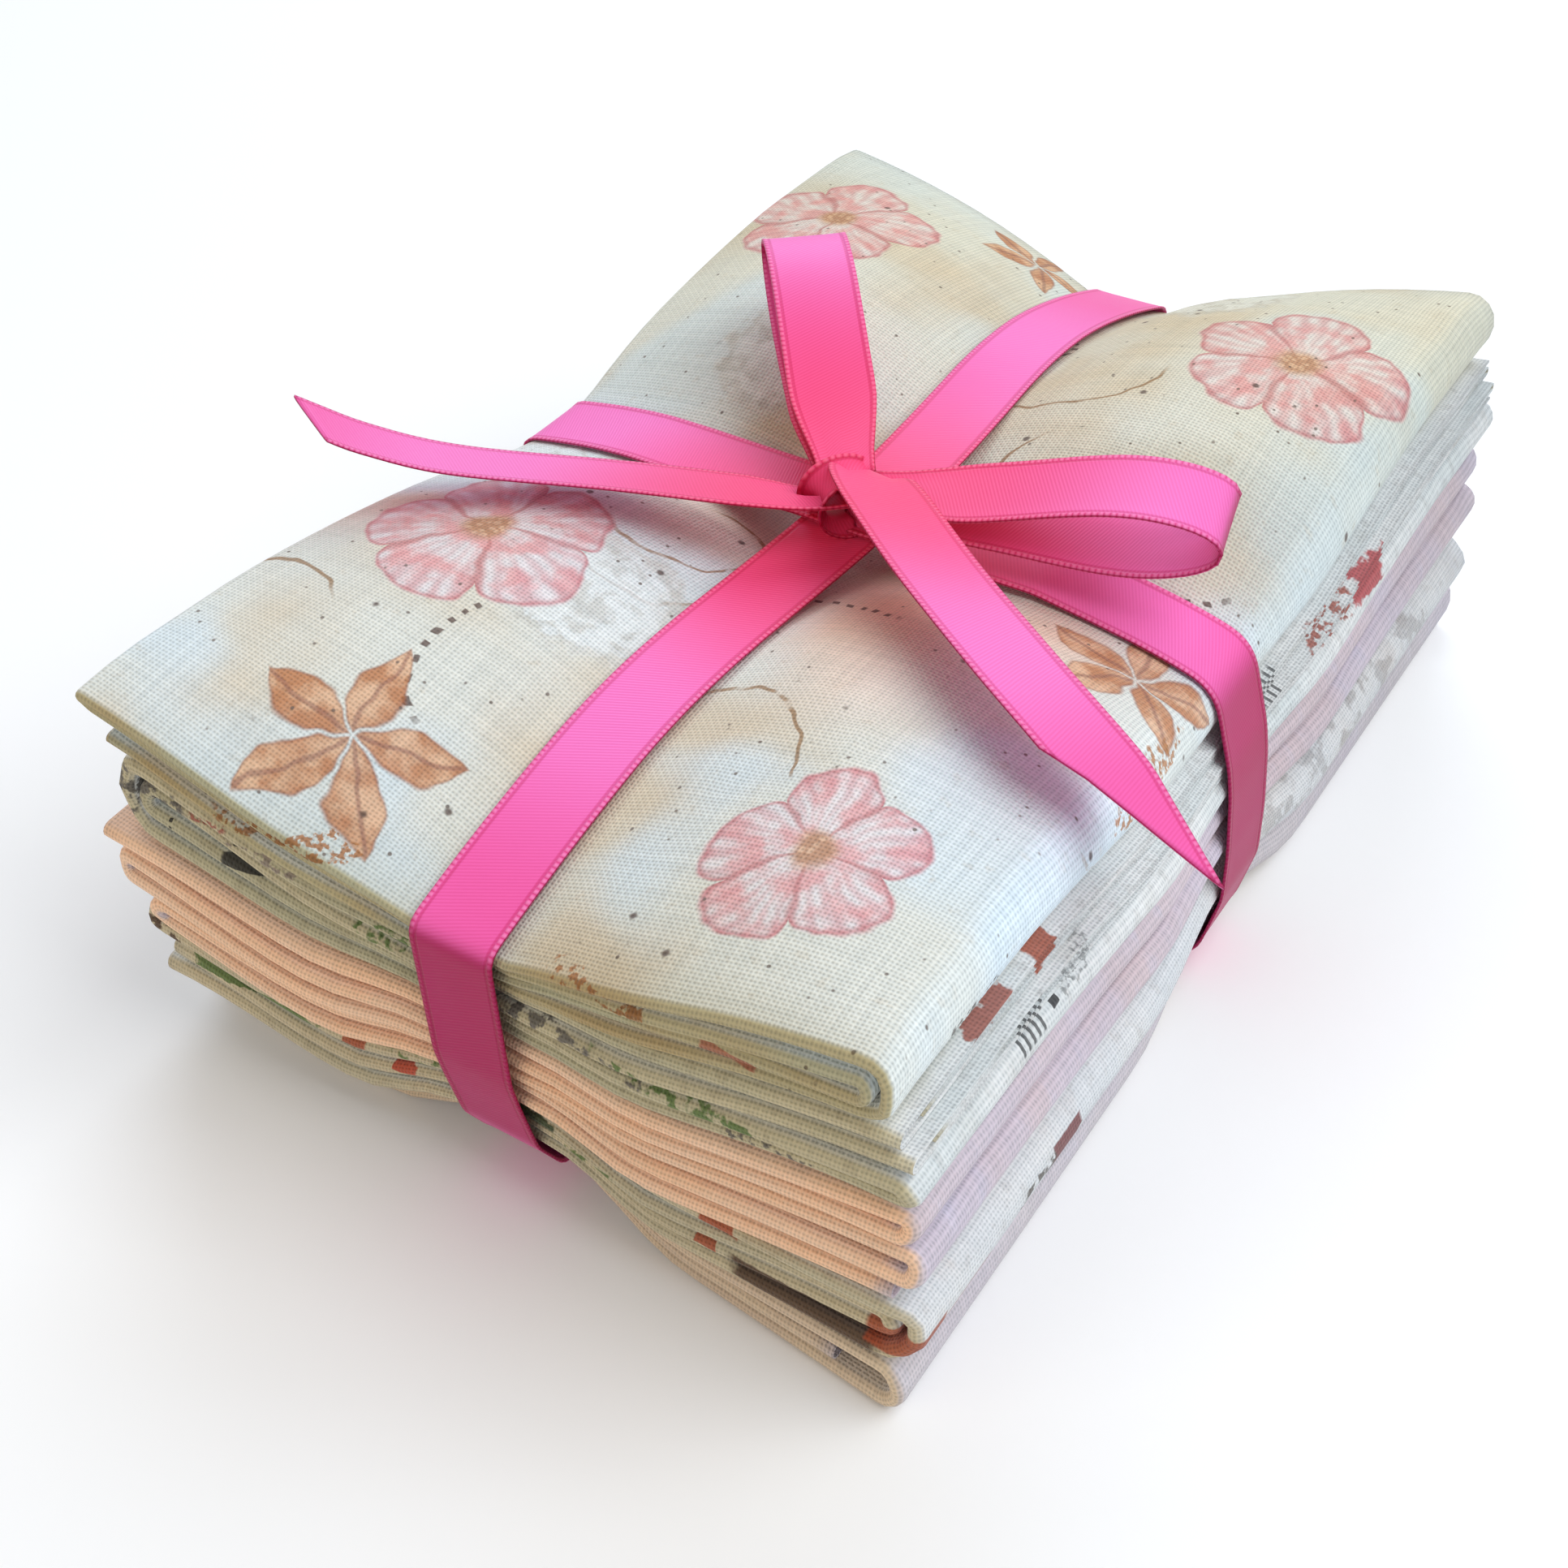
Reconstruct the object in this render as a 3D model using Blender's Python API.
"""A bundle of five folded fat quarters, tied crosswise with a satin ribbon in a bow.

Frame: X runs across the short front face, where the ends of the folds show, Y runs back along
the long side, and Z is up. The origin is the bottom centre of the whole bundle's box. Sizes are
in millimetres and are scaled to metres where a vertex gets its place.

Each fat quarter is one closed back-and-forth section of its layers, drawn in X and Z and extruded
along Y as if the stack were a plain brick. Then every point is moved to where the ribbon presses
it: four swollen lobes, with a valley under each ribbon band that is deepest at the edges.
"""

import math

import bmesh
import bpy
from mathutils import Vector

MM = 0.001

# The stack of cloth, before the ribbon is tied
STACK_WIDTH = 115.0
STACK_LENGTH = 180.0
LAYER_GAP = 0.56
TURN_STEPS = 4
LIP = 0.8

# The satin ribbon
RIBBON_WIDTH = 12.0
RIBBON_THICKNESS = 1.0
RIBBON_GAP = 0.42

# Where the two ribbon bands run: the long band along Y, the cross band along X
LONG_BAND_X = 55.5
CROSS_BAND_Y = 89.5
BAND_FLAT = 8.0

# How deep the bands press into the top, in the middle of the face and more at its two edges
LONG_DIP = {"middle": 4.6, "low_edge": 9.5, "high_edge": 12.0, "fade": 60.0}
CROSS_DIP = {"middle": 4.6, "low_edge": 4.0, "high_edge": 8.0, "fade": 45.0}
VALLEY_NARROW = 24.0
VALLEY_WIDE = 56.0

# The grooves under the stack, which keep both bands off the table
LONG_GROOVE = {"middle": 3.7, "low_edge": 3.0, "high_edge": 3.0, "fade": 40.0}
CROSS_GROOVE = {"middle": 2.3, "low_edge": 2.5, "high_edge": 2.5, "fade": 40.0}
GROOVE_SLOPE = 18.0

# How far the bands pull the faces in
FACE_PULL = 2.2
PULL_REACH = 30.0

# The sections through every cloth, shared so that the layers stay parallel
SECTIONS_X = (9.0, 28.0, 49.0, 61.0, 84.0, 106.0)
SECTIONS_Y = (0.0, 12.0, 30.0, 54.0, 81.5, 97.5, 124.0, 150.0, 169.0, 180.0)

# The four lobes between the bands: left or right, front or back, how far the top swells in the
# middle of the lobe, and how far the stack's top and underside rise at its outer corner
LOBES = (
    {"side_x": -1, "side_y": -1, "swell": 2.0, "raise": 3.5, "lift": 3.0},
    {"side_x": 1, "side_y": -1, "swell": 3.0, "raise": 0.0, "lift": 0.0},
    {"side_x": -1, "side_y": 1, "swell": 4.5, "raise": 1.0, "lift": 0.0},
    {"side_x": 1, "side_y": 1, "swell": 4.5, "raise": 2.5, "lift": 0.0},
)

# The fat quarters from the table up. heights: at the left and right side. levels: the order in
# which the cloth runs through its layers, 0 on top. first_turn: 1 if the first fold is at the
# right. left and right: where its folded sides lie. front_left, front_right and back: how far its
# ends are drawn in. slip: how far each end and fold stops short of the side, in run order.
QUARTERS = (
    {"name": "fat_quarter_5_beige", "heights": (6.6, 10.6), "levels": (0, 2, 1), "first_turn": 1,
     "left": -4.0, "right": 115.6, "front_left": 11.5, "front_right": 0.4, "back": -1.5,
     "slip": (5.0, 0.0, 0.0, 6.0), "colour": (0.80, 0.70, 0.62)},
    {"name": "fat_quarter_4_print", "heights": (15.5, 10.8), "levels": (3, 0, 1, 2),
     "first_turn": 1, "left": -3.5, "right": 117.6, "front_left": 3.0, "front_right": 1.3,
     "back": 3.5, "slip": (1.0, 0.0, 0.0, 0.0, 3.0), "colour": (0.78, 0.76, 0.74)},
    {"name": "fat_quarter_3_peach", "heights": (16.6, 16.3), "levels": (0, 1, 2, 3, 4),
     "first_turn": 1, "left": -1.0, "right": 117.5, "front_left": -0.6, "front_right": 1.2,
     "back": 4.5, "slip": (0.0, 1.0, 0.0, 0.0, 3.5, 4.0), "colour": (0.93, 0.66, 0.52)},
    {"name": "fat_quarter_2_print", "heights": (13.8, 12.5), "levels": (0, 3, 2, 1),
     "first_turn": -1, "left": 1.6, "right": 116.8, "front_left": 0.6, "front_right": 1.2,
     "back": 1.5, "slip": (2.5, 0.0, 0.0, 0.0, 1.0), "colour": (0.86, 0.84, 0.82)},
    {"name": "fat_quarter_1_print", "heights": (8.5, 10.8), "levels": (3, 0, 1, 2),
     "first_turn": 1, "left": 0.0, "right": 114.0, "front_left": 0.0, "front_right": 0.6,
     "back": 2.0, "slip": (3.0, 0.0, 0.0, 0.0, 5.0), "colour": (0.92, 0.89, 0.82)},
)
STACK_HEIGHT = sum(quarter["heights"][0] for quarter in QUARTERS)

# The bow: the knot's half sizes, how far it sits off the crossing, and what leaves it
KNOT_HALF = (7.6, 6.6, 3.4)
KNOT_SHIFT = (1.5, -2.5)
LOOP_ROOT = 2.5
LOOP_STEPS = 26
ROOT_APART = 1.5
ROOT_SHARE = 0.62
BOW_LOOPS = (
    {"heading_deg": 13.0, "rise_deg": 6.5, "length": 50.0, "half_height": 4.6, "tilt_deg": -9.0},
    {"heading_deg": 132.0, "rise_deg": 15.0, "length": 46.0, "half_height": 4.0, "tilt_deg": 0.0},
)
BOW_TAILS = (
    # Each row of a route: how far along X and Y from the knot, and how high above its centre
    {"route": ((-3.0, -1.5, 0.5), (-22.0, -11.0, 0.5), (-42.0, -21.0, 1.0), (-56.0, -28.0, 2.6),
               (-66.0, -32.5, 5.5)), "lean_deg": 13.0, "cut": -3.0},
    {"route": ((2.0, -3.0, 2.0), (18.5, -14.0, 6.5), (36.0, -25.5, 6.5), (52.0, -34.0, 2.0),
               (63.0, -39.0, -6.0)), "lean_deg": 4.0, "cut": 10.0},
)

CLOTH_ROUGHNESS = 0.9
RIBBON_COLOUR = (0.93, 0.20, 0.52)
RIBBON_ROUGHNESS = 0.35


def material(name, colour, roughness):
    """A plain principled material of one colour."""
    made = bpy.data.materials.new(name)
    made.use_nodes = True
    shader = made.node_tree.nodes["Principled BSDF"]
    shader.inputs["Base Color"].default_value = (*colour, 1.0)
    shader.inputs["Roughness"].default_value = roughness
    return made


def smooth(value):
    """Eases from 0 to 1 as value goes from 0 to 1."""
    value = min(max(value, 0.0), 1.0)
    return value * value * (3.0 - 2.0 * value)


def near_edge(distance, fade):
    """1 at an edge of the stack, easing to 0 where distance reaches fade."""
    return max(0.0, 1.0 - distance / fade) ** 2


def edge_distance(place, length):
    """How far a place along a side of that length is from its nearer end."""
    return max(0.0, min(place, length - place))


def valley(across, along_edge):
    """The valley's share of its full depth, at a distance across from the band's middle line."""
    reach = VALLEY_NARROW + (VALLEY_WIDE - VALLEY_NARROW) * along_edge
    share = max(0.0, 1.0 - max(0.0, across - BAND_FLAT) / reach)
    return 0.4 * share + 0.6 * share * share


def groove(across):
    """The groove's share of its full height under the stack."""
    return smooth(1.0 - (across - BAND_FLAT) / GROOVE_SLOPE)


def band_depth(sizes, place, length):
    """How deep a band presses at a place on its way from the low to the high edge."""
    edge = sizes["low_edge"] if place < length / 2 else sizes["high_edge"]
    return sizes["middle"] + edge * near_edge(edge_distance(place, length), sizes["fade"])


def lobe_at(x, y):
    """The lobe that holds a point, and how far out it lies from each band, up to 1."""
    side_x = 1 if x > LONG_BAND_X else -1
    side_y = 1 if y > CROSS_BAND_Y else -1
    width = STACK_WIDTH - LONG_BAND_X if side_x > 0 else LONG_BAND_X
    length = STACK_LENGTH - CROSS_BAND_Y if side_y > 0 else CROSS_BAND_Y
    across = min(abs(x - LONG_BAND_X) / width, 1.0)
    along = min(abs(y - CROSS_BAND_Y) / length, 1.0)
    found = [lobe for lobe in LOBES if lobe["side_x"] == side_x and lobe["side_y"] == side_y]
    return found[0], across, along


def top_height(x, y):
    """The height of the tied stack's top."""
    near_end = near_edge(edge_distance(y, STACK_LENGTH), LONG_DIP["fade"])
    near_side = near_edge(edge_distance(x, STACK_WIDTH), CROSS_DIP["fade"])
    long_dip = band_depth(LONG_DIP, y, STACK_LENGTH) * valley(abs(x - LONG_BAND_X), near_end)
    cross_dip = band_depth(CROSS_DIP, x, STACK_WIDTH) * valley(abs(y - CROSS_BAND_Y), near_side)
    lobe, across, along = lobe_at(x, y)
    swell = lobe["swell"] * math.sin(math.pi * across) * math.sin(math.pi * along)
    return STACK_HEIGHT - long_dip - cross_dip + swell + lobe["raise"] * across * along


def bottom_height(x, y):
    """The height of the tied stack's underside, 0 where the lobes lie on the table."""
    long_rise = band_depth(LONG_GROOVE, y, STACK_LENGTH) * groove(abs(x - LONG_BAND_X))
    cross_rise = band_depth(CROSS_GROOVE, x, STACK_WIDTH) * groove(abs(y - CROSS_BAND_Y))
    lobe, across, along = lobe_at(x, y)
    return max(long_rise, cross_rise, lobe["lift"] * smooth(2 * across * along - 1))


def settle(point, quarter):
    """Moves a point of the brick-like stack to where it lies in the tied bundle."""
    x, y, z = point
    pull_end = FACE_PULL * smooth(1.0 - abs(x - LONG_BAND_X) / PULL_REACH)
    pull_side = FACE_PULL * smooth(1.0 - abs(y - CROSS_BAND_Y) / PULL_REACH)
    share = min(max(x / STACK_WIDTH, 0.0), 1.0)
    if y < SECTIONS_Y[1] / 2:
        y += quarter["front_left"] * (1.0 - share) + quarter["front_right"] * share + pull_end
    elif y > (SECTIONS_Y[-2] + STACK_LENGTH) / 2:
        y -= quarter["back"] + pull_end
    if x < SECTIONS_X[0]:
        x += pull_side * (SECTIONS_X[0] - x) / (SECTIONS_X[0] - quarter["left"])
    elif x > SECTIONS_X[-1]:
        x -= pull_side * (x - SECTIONS_X[-1]) / (quarter["right"] - SECTIONS_X[-1])
    inside = (z - quarter["base"] - LAYER_GAP / 2) / (mean_height(quarter) - LAYER_GAP)
    left, right = [base + LAYER_GAP / 2 + inside * (height - LAYER_GAP)
                   for base, height in zip(quarter["bases"], quarter["heights"])]
    level = (left * (1.0 - share) + right * share) / STACK_HEIGHT
    low = bottom_height(x, y)
    return x, y, low + level * (top_height(x, y) - low)


def mean_height(quarter):
    """A fat quarter's height between its left and right side."""
    return sum(quarter["heights"]) / 2


def stacked(quarters):
    """The fat quarters with the height at which each starts: on the whole, and at both sides."""
    placed = []
    base, bases = -LAYER_GAP / 2, (-LAYER_GAP / 2, -LAYER_GAP / 2)
    for quarter in quarters:
        placed.append({**quarter, "base": base, "bases": bases})
        base += mean_height(quarter)
        bases = tuple(low + height for low, height in zip(bases, quarter["heights"]))
    return placed


def turns_of(quarter):
    """The folds of a quarter in the order of its run: level before, level after, side, slip."""
    levels = quarter["levels"]
    turns = []
    for index in range(len(levels) - 1):
        side = quarter["first_turn"] * (-1) ** index
        turns.append((levels[index], levels[index + 1], side, quarter["slip"][index + 1]))
    return turns


def turn_centre_x(turn, turns, quarter, pitch, ply):
    """Where a fold's arc is centred: a fold inside a wider one shares the wider one's centre."""
    low, high = sorted(turn[:2])
    widest = turn
    for other in turns:
        inside = min(other[:2]) <= low and max(other[:2]) >= high
        if other[2] == turn[2] and inside and abs(other[0] - other[1]) > abs(widest[0] - widest[1]):
            widest = other
    reach = abs(widest[0] - widest[1]) * pitch / 2 + ply / 2 + widest[3]
    edge = quarter["right"] if turn[2] > 0 else quarter["left"]
    return edge - turn[2] * reach


def raw_end_x(level, side, turns, quarter, pitch, ply, slip):
    """Where a raw edge lies: a little short of the side, or inside a fold that goes round it."""
    for turn in turns:
        if turn[2] == side and min(turn[:2]) < level < max(turn[:2]):
            return turn_centre_x(turn, turns, quarter, pitch, ply) - side * slip
    edge = quarter["right"] if side > 0 else quarter["left"]
    return edge - side * (LIP + slip)


def fold_path(quarter):
    """The centre line of a folded cloth's section: places and left-hand normals in X and Z."""
    count = len(quarter["levels"])
    pitch = mean_height(quarter) / count
    ply = pitch - LAYER_GAP
    turns = turns_of(quarter)
    top = quarter["base"] + mean_height(quarter)
    heights = [top - (level + 0.5) * pitch for level in range(count)]
    first, last = quarter["levels"][0], quarter["levels"][-1]
    heading = quarter["first_turn"]
    x_now = raw_end_x(first, -heading, turns, quarter, pitch, ply, quarter["slip"][0])
    path = [(x_now, heights[first], 0.0, heading)]
    for turn in turns:
        before, after, side, _ = turn
        centre_x = turn_centre_x(turn, turns, quarter, pitch, ply)
        path += flat_run(x_now, centre_x, heights[before], side)
        radius = abs(heights[before] - heights[after]) / 2
        centre_z = (heights[before] + heights[after]) / 2
        down = 1 if heights[before] > heights[after] else -1
        for step in range(TURN_STEPS + 1):
            angle = math.pi * step / TURN_STEPS
            out_x, out_z = side * math.sin(angle), down * math.cos(angle)
            hand = side * down
            path.append((centre_x + radius * out_x, centre_z + radius * out_z,
                         hand * out_x, hand * out_z))
        x_now = centre_x
    heading = -turns[-1][2]
    x_end = raw_end_x(last, heading, turns, quarter, pitch, ply, quarter["slip"][-1])
    path += flat_run(x_now, x_end, heights[last], heading)
    path.append((x_end, heights[last], 0.0, heading))
    return path, ply


def flat_run(start, end, height, heading):
    """The shared sections that a layer passes on its way from start to end."""
    passed = [x for x in SECTIONS_X if min(start, end) + 0.5 < x < max(start, end) - 0.5]
    return [(x, height, 0.0, heading) for x in sorted(passed, reverse=heading < 0)]


def section_rows(path, ply):
    """Left, middle and right row of a section's points; the raw ends get a blunt middle."""
    rows = []
    for index, (x, z, normal_x, normal_z) in enumerate(path):
        middle_x = x
        if index == 0:
            middle_x -= normal_z * LIP
        if index == len(path) - 1:
            middle_x += normal_z * LIP
        rows.append(((x + normal_x * ply / 2, z + normal_z * ply / 2), (middle_x, z),
                     (x - normal_x * ply / 2, z - normal_z * ply / 2)))
    return rows


def extrude_on(mesh, faces, is_start):
    """Extrudes faces in place and returns the new faces and vertices; only a start cap stays."""
    grown = bmesh.ops.extrude_face_region(mesh, geom=faces)["geom"]
    if not is_start:
        bmesh.ops.delete(mesh, geom=faces, context="FACES")
    new_faces = [item for item in grown if isinstance(item, bmesh.types.BMFace)]
    new_vertices = [item for item in grown if isinstance(item, bmesh.types.BMVert)]
    return new_faces, new_vertices


def split_along_one_diagonal(mesh):
    """Cuts every quad from its low corner to its high corner, so that all layers match."""
    for face in list(mesh.faces):
        if len(face.verts) != 4:
            continue
        diagonals = [(face.verts[0], face.verts[2]), (face.verts[1], face.verts[3])]
        spans = [abs(a.co.x + a.co.y - b.co.x - b.co.y) for a, b in diagonals]
        low, high = diagonals[spans.index(max(spans))]
        bmesh.utils.face_split(face, low, high)


def make_object(name, mesh, colour, roughness):
    """Turns a bmesh in millimetres into a smooth shaded object in metres."""
    bmesh.ops.recalc_face_normals(mesh, faces=mesh.faces)
    bmesh.ops.scale(mesh, vec=(MM, MM, MM), verts=mesh.verts)
    data = bpy.data.meshes.new(name)
    mesh.to_mesh(data)
    mesh.free()
    data.shade_smooth()
    data.set_sharp_from_angle(angle=math.radians(40))
    data.materials.append(material(name, colour, roughness))
    made = bpy.data.objects.new(name, data)
    bpy.context.scene.collection.objects.link(made)
    return made


def make_quarter(quarter):
    """One fat quarter: its folded section, extruded along Y and settled under the ribbon."""
    mesh = bmesh.new()
    row_of = mesh.verts.layers.int.new("row")
    path, ply = fold_path(quarter)
    columns = []
    for places in section_rows(path, ply):
        column = [mesh.verts.new((x, SECTIONS_Y[0], z)) for x, z in places]
        column[1][row_of] = 1
        columns.append(column)
    region = []
    for here, there in zip(columns, columns[1:]):
        for row in range(2):
            corners = (here[row], there[row], there[row + 1], here[row + 1])
            region.append(mesh.faces.new(corners))
    for before, after in zip(SECTIONS_Y, SECTIONS_Y[1:]):
        region, moved = extrude_on(mesh, region, before == SECTIONS_Y[0])
        bmesh.ops.translate(mesh, verts=moved, vec=(0.0, after - before, 0.0))
    split_along_one_diagonal(mesh)
    raw_columns = {round(columns[0][1].co.x, 4), round(columns[-1][1].co.x, 4)}
    for vertex in mesh.verts:
        is_middle = vertex[row_of] == 1 and round(vertex.co.x, 4) not in raw_columns
        if is_middle and vertex.co.y < SECTIONS_Y[1] / 2:
            vertex.co.y -= LIP
        elif is_middle and vertex.co.y > (SECTIONS_Y[-2] + STACK_LENGTH) / 2:
            vertex.co.y += LIP
    for vertex in mesh.verts:
        vertex.co = settle(vertex.co, quarter)
    return mesh


def points_under_band(meshes, is_long):
    """Places (along, height) of the vertices that lie under, over or beside a band."""
    reach = BAND_FLAT + 0.1
    found = []
    for mesh in meshes:
        for vertex in mesh.verts:
            off = vertex.co.x - LONG_BAND_X if is_long else vertex.co.y - CROSS_BAND_Y
            if abs(off) < reach:
                found.append((vertex.co.y if is_long else vertex.co.x, vertex.co.z))
    return found


def turned_side(origin, a, b):
    """Positive when the way from origin through a to b turns left."""
    return (a[0] - origin[0]) * (b[1] - origin[1]) - (a[1] - origin[1]) * (b[0] - origin[0])


def taut_loop(points, clearance):
    """A taut loop round the points: their convex outline, kept that far off them."""
    spread = []
    for x, z in points:
        for step in range(12):
            angle = math.tau * step / 12
            spread.append((round(x + clearance * math.cos(angle), 5),
                           round(z + clearance * math.sin(angle), 5)))
    spread = sorted(set(spread))
    outline = []
    for ordered in (spread, spread[::-1]):
        chain = []
        for place in ordered:
            while len(chain) > 1 and turned_side(chain[-2], chain[-1], place) <= 1e-9:
                chain.pop()
            chain.append(place)
        outline += chain[:-1]
    kept = [outline[0]]
    for place in outline[1:]:
        if math.dist(place, kept[-1]) > 0.35 and math.dist(place, kept[0]) > 0.35:
            kept.append(place)
    return kept


def make_band(loop, axis, middle):
    """A flat ribbon band of the loop's outline, as wide as the ribbon."""
    mesh = bmesh.new()
    half = RIBBON_THICKNESS / 2
    count = len(loop)
    rings = {"inner": [], "outer": []}
    for index, here in enumerate(loop):
        before, after = loop[index - 1], loop[(index + 1) % count]
        into = Vector((here[0] - before[0], here[1] - before[1])).normalized()
        onward = Vector((after[0] - here[0], after[1] - here[1])).normalized()
        tangent = (into + onward).normalized()
        outward = Vector((tangent.y, -tangent.x)) / max(tangent.dot(onward), 0.5)
        for ring, way in (("inner", -half), ("outer", half)):
            place = Vector(here) + outward * way
            start = [0.0, 0.0, place.y]
            start[axis] = middle - RIBBON_WIDTH / 2
            start[1 - axis] = place.x
            rings[ring].append(mesh.verts.new(start))
    wall = []
    for index in range(count):
        follow = (index + 1) % count
        corners = (rings["inner"][index], rings["inner"][follow],
                   rings["outer"][follow], rings["outer"][index])
        wall.append(mesh.faces.new(corners))
    _, moved = extrude_on(mesh, wall, True)
    across = [0.0, 0.0, 0.0]
    across[axis] = RIBBON_WIDTH
    bmesh.ops.translate(mesh, verts=moved, vec=across)
    return mesh


def curve_through(route, steps):
    """Points of a smooth curve through every point of a route."""
    route = [Vector(place) for place in route]
    ends = [route[0] * 2 - route[1]] + route + [route[-1] * 2 - route[-2]]
    points = []
    for index in range(1, len(ends) - 2):
        a, b, c, d = ends[index - 1:index + 3]
        for step in range(steps):
            t = step / steps
            points.append(0.5 * ((2 * b) + (c - a) * t + (2 * a - 5 * b + 4 * c - d) * t ** 2
                                 + (3 * b - a - 3 * c + d) * t ** 3))
    points.append(route[-1])
    return points


def make_strip(points, acrosses, widths, cut):
    """A ribbon strip swept along points, with its width direction at each, and a slanted end."""
    mesh = bmesh.new()
    half = RIBBON_THICKNESS / 2
    corners_of = []
    for index, place in enumerate(points):
        before, after = points[max(index - 1, 0)], points[min(index + 1, len(points) - 1)]
        along = (after - before).normalized()
        across = (acrosses[index] - along * acrosses[index].dot(along)).normalized()
        up = across.cross(along)
        slant = along * cut if index == len(points) - 1 else Vector()
        reach = across * widths[index] / 2
        corners_of.append((place - reach - up * half - slant, place + reach - up * half + slant,
                           place + reach + up * half + slant, place - reach + up * half - slant))
    end_faces = [mesh.faces.new([mesh.verts.new(corner) for corner in corners_of[0]])]
    for index in range(1, len(corners_of)):
        before, after = corners_of[index - 1], corners_of[index]
        end_faces, moved = extrude_on(mesh, end_faces, index == 1)
        for vertex in moved:
            nearest = min(range(4), key=lambda corner: (vertex.co - before[corner]).length)
            vertex.co = after[nearest]
    return mesh


def make_loop(loop, centre):
    """One bow loop: half of a figure of eight that starts and ends in the knot."""
    heading = math.radians(loop["heading_deg"])
    rise = math.radians(loop["rise_deg"])
    flat = Vector((math.cos(heading), math.sin(heading), 0.0))
    along = flat * math.cos(rise) + Vector((0.0, 0.0, math.sin(rise)))
    level = Vector((-math.sin(heading), math.cos(heading), 0.0))
    tilt = math.radians(loop["tilt_deg"])
    normal = along.cross(level).normalized()
    across = level * math.cos(tilt) - normal * math.sin(tilt)
    up = along.cross(across).normalized()
    if up.z < 0:
        up = -up
    points, widths = [], []
    for step in range(LOOP_STEPS + 1):
        t = step / LOOP_STEPS
        out = math.sin(math.pi * t)
        reach = LOOP_ROOT + (loop["length"] - LOOP_ROOT) * out
        height = loop["half_height"] * math.sin(math.tau * t) + ROOT_APART * math.cos(math.pi * t)
        points.append(centre + along * reach + up * height)
        widths.append(RIBBON_WIDTH * (ROOT_SHARE + (1.0 - ROOT_SHARE) * smooth(out * 2.5)))
    return make_strip(points, [across] * len(points), widths, 0.0)


def make_tail(tail, centre):
    """One free end of the ribbon, cut on the slant; its last stretch is as long as the cut."""
    points = [centre + place for place in curve_through(tail["route"], 4)]
    room = abs(tail["cut"]) + RIBBON_THICKNESS
    points = [place for place in points[:-1] if (place - points[-1]).length > room] + points[-1:]
    lean = math.radians(tail["lean_deg"])
    acrosses, widths = [], []
    for index, place in enumerate(points):
        before, after = points[max(index - 1, 0)], points[min(index + 1, len(points) - 1)]
        along = (after - before).normalized()
        level = Vector((0.0, 0.0, 1.0)).cross(along).normalized()
        acrosses.append(level * math.cos(lean) + along.cross(level) * math.sin(lean))
        widths.append(RIBBON_WIDTH * (ROOT_SHARE + (1.0 - ROOT_SHARE) * smooth(index / 4)))
    return make_strip(points, acrosses, widths, tail["cut"])


def make_knot(centre):
    """The knot's body, a soft lump that the loops and tails come out of."""
    mesh = bmesh.new()
    bmesh.ops.create_uvsphere(mesh, u_segments=16, v_segments=8, radius=1.0)
    bmesh.ops.scale(mesh, vec=KNOT_HALF, verts=mesh.verts)
    bmesh.ops.translate(mesh, verts=mesh.verts, vec=centre)
    return mesh


def join_to(base, part):
    """Makes part a hidden tool that a Boolean union joins to base."""
    part.hide_render = True
    part.hide_viewport = True
    part.display_type = "WIRE"
    union = base.modifiers.new("join_" + part.name, "BOOLEAN")
    union.operation = "UNION"
    union.solver = "EXACT"
    union.object = part


def box_of(objects):
    """The lowest and highest corner of the objects' own meshes."""
    corners = [vertex.co for made in objects for vertex in made.data.vertices]
    low = Vector([min(corner[axis] for corner in corners) for axis in range(3)])
    high = Vector([max(corner[axis] for corner in corners) for axis in range(3)])
    return low, high


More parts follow.
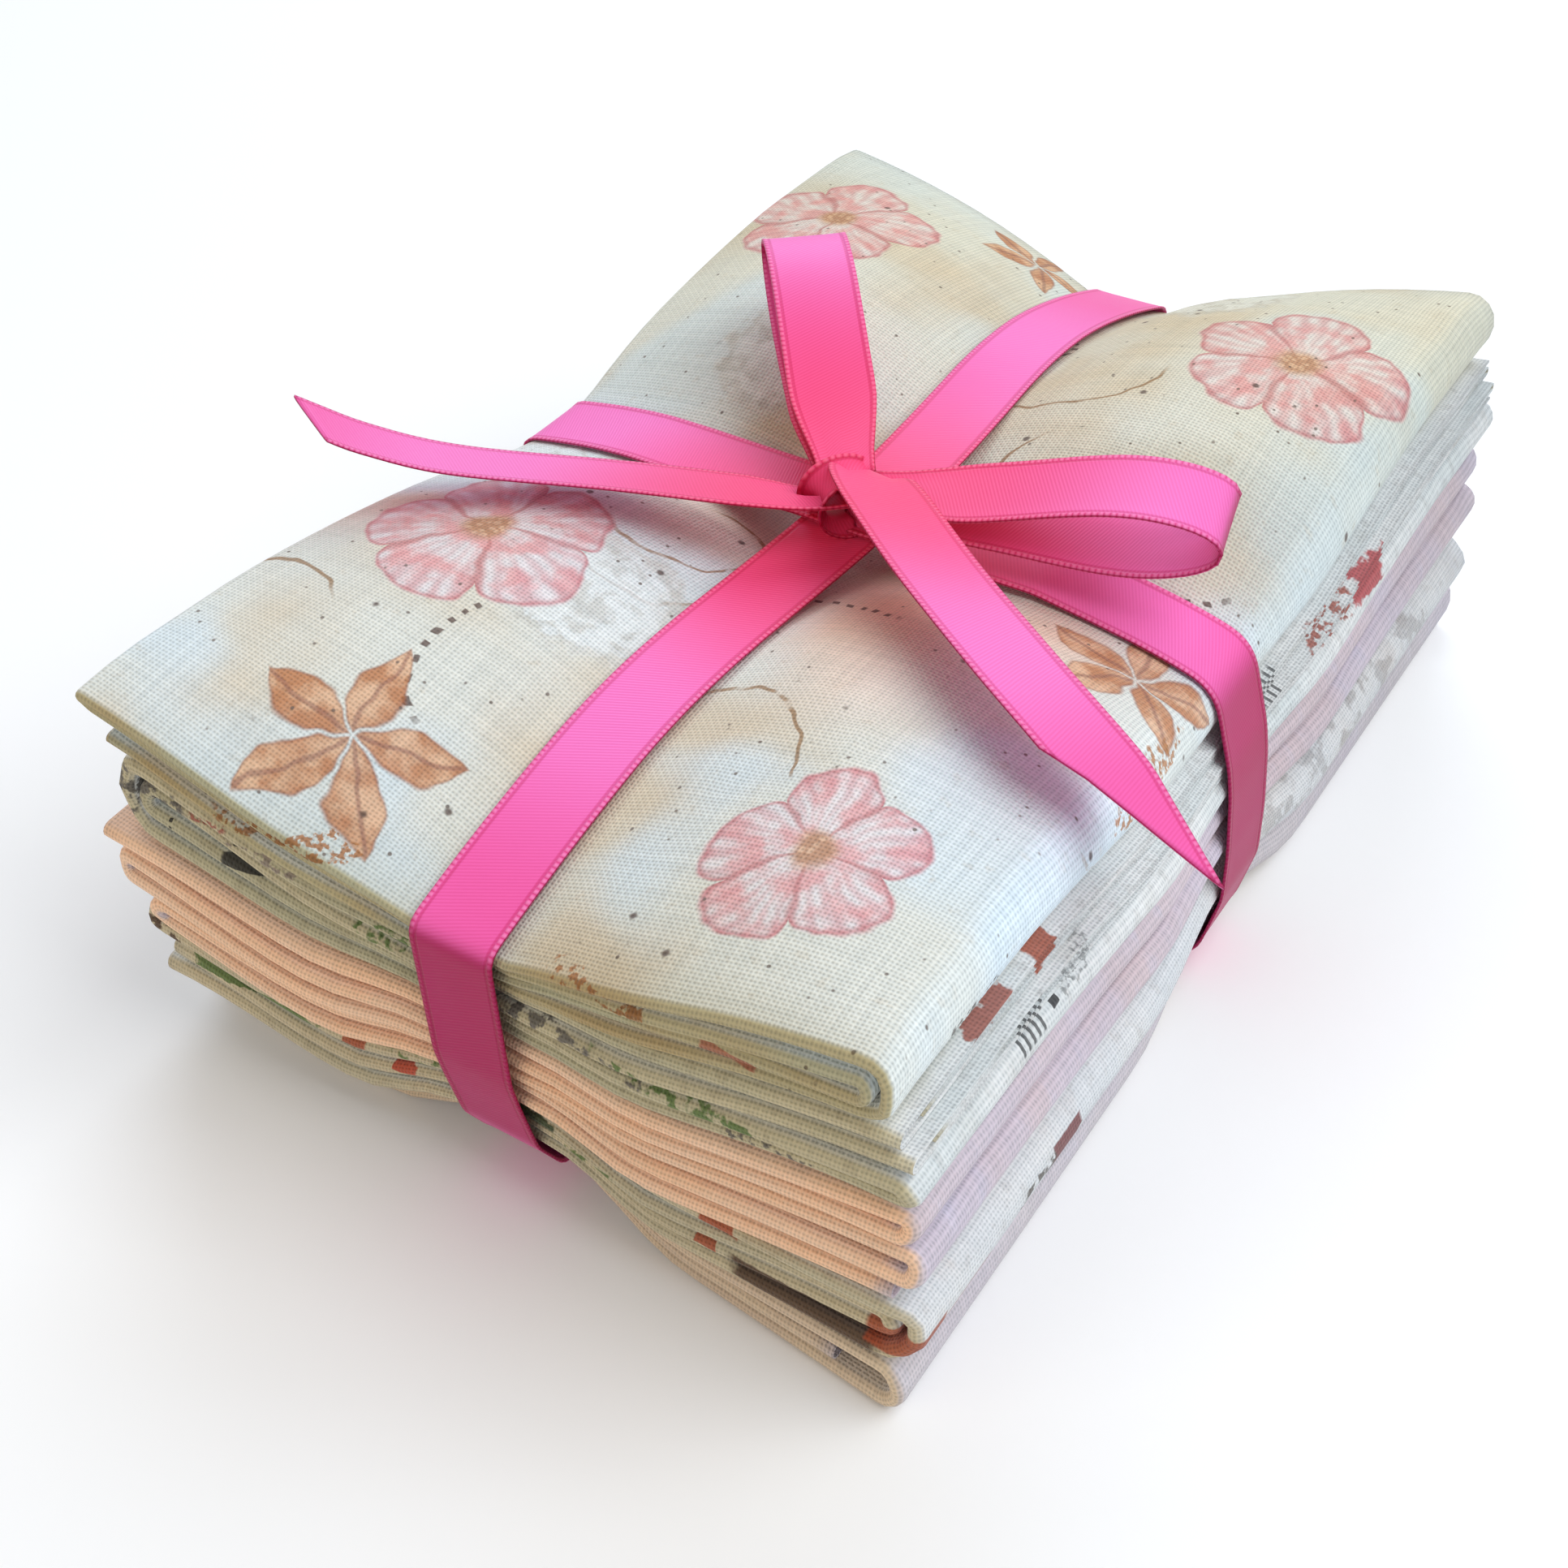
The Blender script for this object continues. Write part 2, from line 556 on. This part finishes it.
def main():
    """Builds the bundle with its origin at the bottom centre of its box."""
    for old in list(bpy.data.objects):
        bpy.data.objects.remove(old)
    cloths = []
    for quarter in stacked(QUARTERS):
        cloths.append(make_quarter(quarter))

    half = RIBBON_WIDTH / 2
    clearance = RIBBON_GAP + RIBBON_THICKNESS / 2
    long_band = make_band(taut_loop(points_under_band(cloths, True), clearance), 0, LONG_BAND_X)
    crossing_height = max(vertex.co.z for vertex in long_band.verts
                          if abs(vertex.co.y - CROSS_BAND_Y) < STACK_LENGTH / 4)
    under_cross = points_under_band(cloths, False)
    under_cross += [(LONG_BAND_X - half, crossing_height), (LONG_BAND_X + half, crossing_height)]
    cross_band = make_band(taut_loop(under_cross, clearance), 1, CROSS_BAND_Y)

    knot_base = crossing_height + RIBBON_GAP + RIBBON_THICKNESS + RIBBON_GAP
    centre = Vector((LONG_BAND_X + KNOT_SHIFT[0], CROSS_BAND_Y + KNOT_SHIFT[1],
                     knot_base + KNOT_HALF[2]))
    knot = make_object("ribbon_bow", make_knot(centre), RIBBON_COLOUR, RIBBON_ROUGHNESS)
    tools = []
    for index, loop in enumerate(BOW_LOOPS):
        made = make_loop(loop, centre)
        tools.append(make_object(f"bow_loop_{index}", made, RIBBON_COLOUR, RIBBON_ROUGHNESS))
    for index, tail in enumerate(BOW_TAILS):
        made = make_tail(tail, centre)
        tools.append(make_object(f"bow_tail_{index}", made, RIBBON_COLOUR, RIBBON_ROUGHNESS))
    for tool in tools:
        join_to(knot, tool)

    shown = [knot, *tools]
    for quarter, cloth in zip(QUARTERS, cloths):
        shown.append(make_object(quarter["name"], cloth, quarter["colour"], CLOTH_ROUGHNESS))
    shown.append(make_object("ribbon_band_long", long_band, RIBBON_COLOUR, RIBBON_ROUGHNESS))
    shown.append(make_object("ribbon_band_cross", cross_band, RIBBON_COLOUR, RIBBON_ROUGHNESS))

    low, high = box_of(shown)
    shift = Vector((-(low.x + high.x) / 2, -(low.y + high.y) / 2, -low.z))
    for made in shown:
        for vertex in made.data.vertices:
            vertex.co += shift


main()
